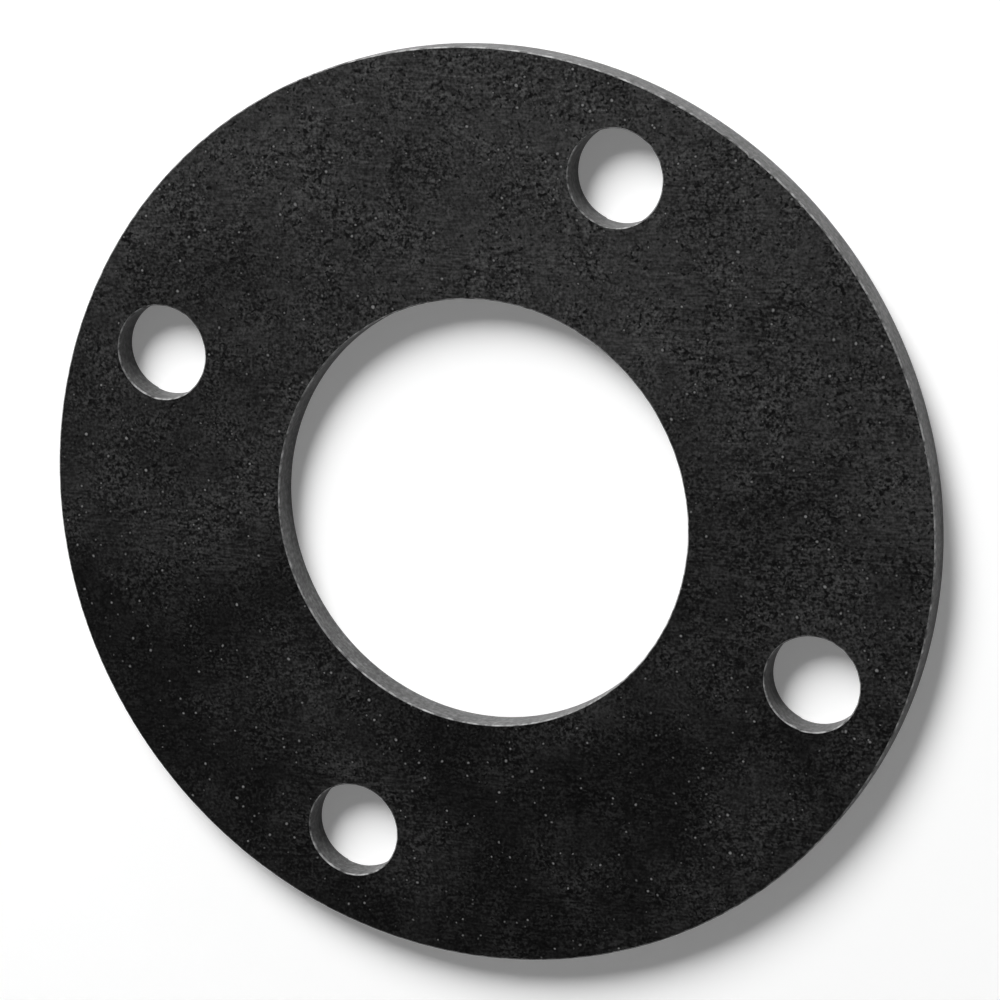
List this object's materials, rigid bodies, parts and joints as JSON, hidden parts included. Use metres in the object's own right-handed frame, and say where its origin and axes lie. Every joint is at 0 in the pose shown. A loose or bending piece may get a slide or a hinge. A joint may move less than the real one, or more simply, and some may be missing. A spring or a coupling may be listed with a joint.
{
  "type": "rubber flange gasket",
  "caption": "Full-face rubber flange gasket: a flat black ring with a pipe bore and a circle of bolt holes.",
  "frame": {"origin": "centre of the back face, on the bore's axis, where the gasket lies on a surface", "axes": "+Z along the bore's axis, out of the face that the cutter entered; the bolt holes stand at 45 degrees to +X and +Y"},
  "size_m": [0.1905, 0.1904, 0.0063],
  "materials": {
    "rubber_sheet": "matte, fine cloth-pressed grain"
  },
  "bodies": {
    "root": {"gasket": "rubber_sheet"}
  },
  "joints": []
}
